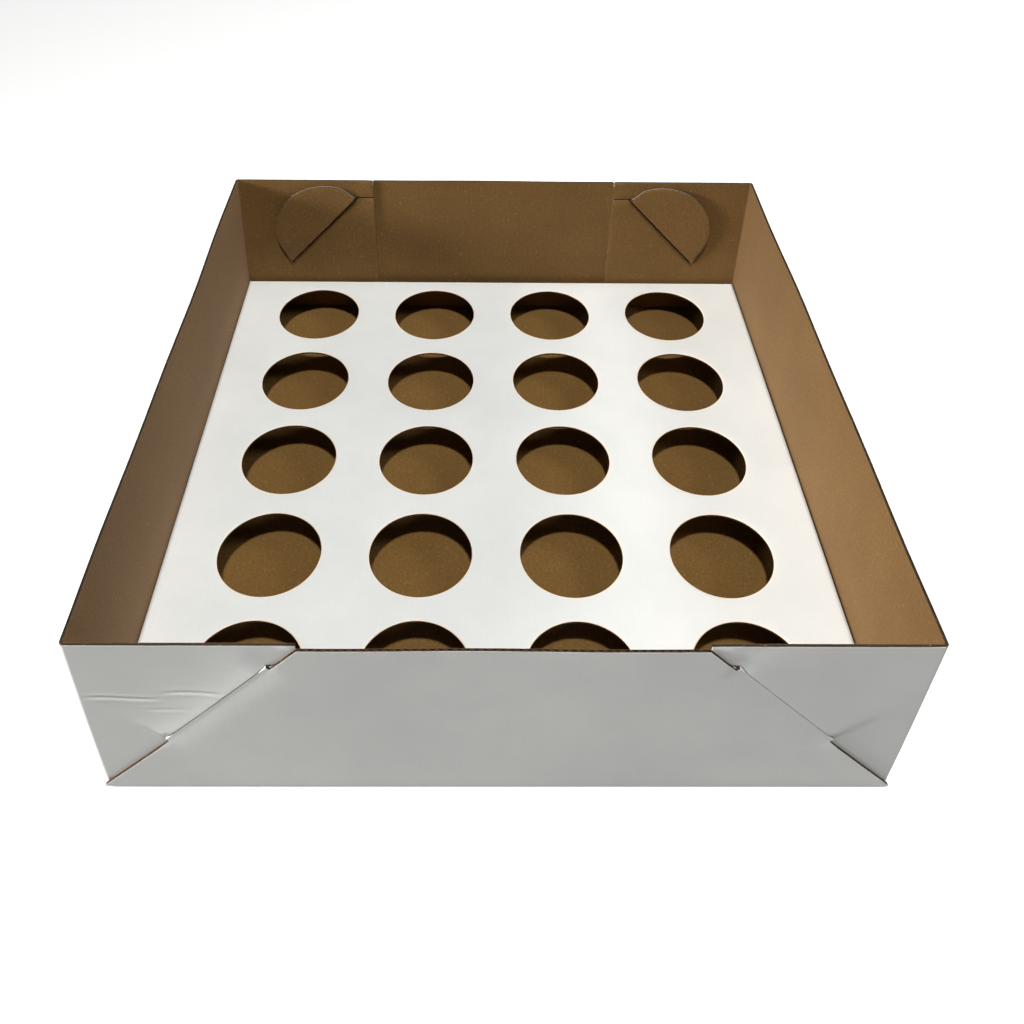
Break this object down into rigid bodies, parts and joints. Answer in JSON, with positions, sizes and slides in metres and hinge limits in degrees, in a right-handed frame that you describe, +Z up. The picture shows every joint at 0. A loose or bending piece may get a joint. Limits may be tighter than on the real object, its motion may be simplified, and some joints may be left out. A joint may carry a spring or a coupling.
{
  "type": "folding board tray with a holed insert",
  "caption": "Folded micro-flute board tray, white outside and kraft inside, with half-moon corner locks and a raised insert with a grid of round holes.",
  "frame": {"origin": "middle of the tray's underside", "axes": "+Z up, -Y towards the front wall, +X to the right seen from the front"},
  "size_m": [0.33, 0.335, 0.098],
  "materials": {
    "white_board": "matte",
    "kraft_board": "matte"
  },
  "bodies": {
    "tray_base": {"base_panel": "kraft_board"},
    "side_left": {"side_wall_left": "white_board", "corner_flap_front_left": "white_board", "corner_flap_back_left": "white_board"},
    "side_right": {"side_wall_right": "white_board", "corner_flap_front_right": "white_board", "corner_flap_back_right": "white_board"},
    "end_front": {"end_wall_front": "white_board"},
    "end_back": {"end_wall_back": "white_board"},
    "insert": {"insert_deck": "white_board"},
    "skirt_front": {"insert_skirt_front": "white_board"},
    "skirt_back": {"insert_skirt_back": "white_board"},
    "skirt_left": {"insert_skirt_left": "white_board"},
    "skirt_right": {"insert_skirt_right": "white_board"},
    "tab_front_left": {"lock_tab_front_left": "kraft_board"},
    "tab_front_right": {"lock_tab_front_right": "kraft_board"},
    "tab_back_left": {"lock_tab_back_left": "kraft_board"},
    "tab_back_right": {"lock_tab_back_right": "kraft_board"}
  },
  "joints": [
    {"name": "insert_lift", "type": "slide", "parent": "tray_base", "child": "insert", "axis": [0, 0, 1], "range_m": [0, 0.12]},
    {"name": "side_left_fold", "type": "hinge", "parent": "tray_base", "child": "side_left", "pos_m": [-0.165, 0, 0], "axis": [0, -1, 0], "range_deg": [0, 90]},
    {"name": "side_right_fold", "type": "hinge", "parent": "tray_base", "child": "side_right", "pos_m": [0.165, 0, 0], "axis": [0, 1, 0], "range_deg": [0, 90]},
    {"name": "end_front_fold", "type": "hinge", "parent": "tray_base", "child": "end_front", "pos_m": [0, -0.1675, 0], "axis": [1, 0, 0], "range_deg": [0, 90]},
    {"name": "end_back_fold", "type": "hinge", "parent": "tray_base", "child": "end_back", "pos_m": [0, 0.1675, 0], "axis": [-1, 0, 0], "range_deg": [0, 90]},
    {"name": "tab_front_left_bend", "type": "hinge", "parent": "end_front", "child": "tab_front_left", "pos_m": [-0.10983, -0.16405, 0.06081], "axis": [-0.6838, 0, -0.7297], "range_deg": [0, 80], "deforming": ["lock_tab_front_left"]},
    {"name": "tab_front_right_bend", "type": "hinge", "parent": "end_front", "child": "tab_front_right", "pos_m": [0.10983, -0.16405, 0.06081], "axis": [-0.6838, 0, 0.7297], "range_deg": [0, 80], "deforming": ["lock_tab_front_right"]},
    {"name": "tab_back_left_bend", "type": "hinge", "parent": "end_back", "child": "tab_back_left", "pos_m": [-0.10983, 0.16405, 0.06081], "axis": [0.6838, 0, 0.7297], "range_deg": [0, 80], "deforming": ["lock_tab_back_left"]},
    {"name": "tab_back_right_bend", "type": "hinge", "parent": "end_back", "child": "tab_back_right", "pos_m": [0.10983, 0.16405, 0.06081], "axis": [0.6838, 0, -0.7297], "range_deg": [0, 80], "deforming": ["lock_tab_back_right"]},
    {"name": "skirt_left_fold", "type": "hinge", "parent": "insert", "child": "skirt_left", "pos_m": [-0.161, 0, 0.02035], "axis": [0, -1, 0], "range_deg": [0, 90]},
    {"name": "skirt_right_fold", "type": "hinge", "parent": "insert", "child": "skirt_right", "pos_m": [0.161, 0, 0.02035], "axis": [0, 1, 0], "range_deg": [0, 90]},
    {"name": "skirt_front_fold", "type": "hinge", "parent": "insert", "child": "skirt_front", "pos_m": [0, -0.1605, 0.02035], "axis": [1, 0, 0], "range_deg": [0, 90]},
    {"name": "skirt_back_fold", "type": "hinge", "parent": "insert", "child": "skirt_back", "pos_m": [0, 0.1605, 0.02035], "axis": [-1, 0, 0], "range_deg": [0, 90]}
  ]
}
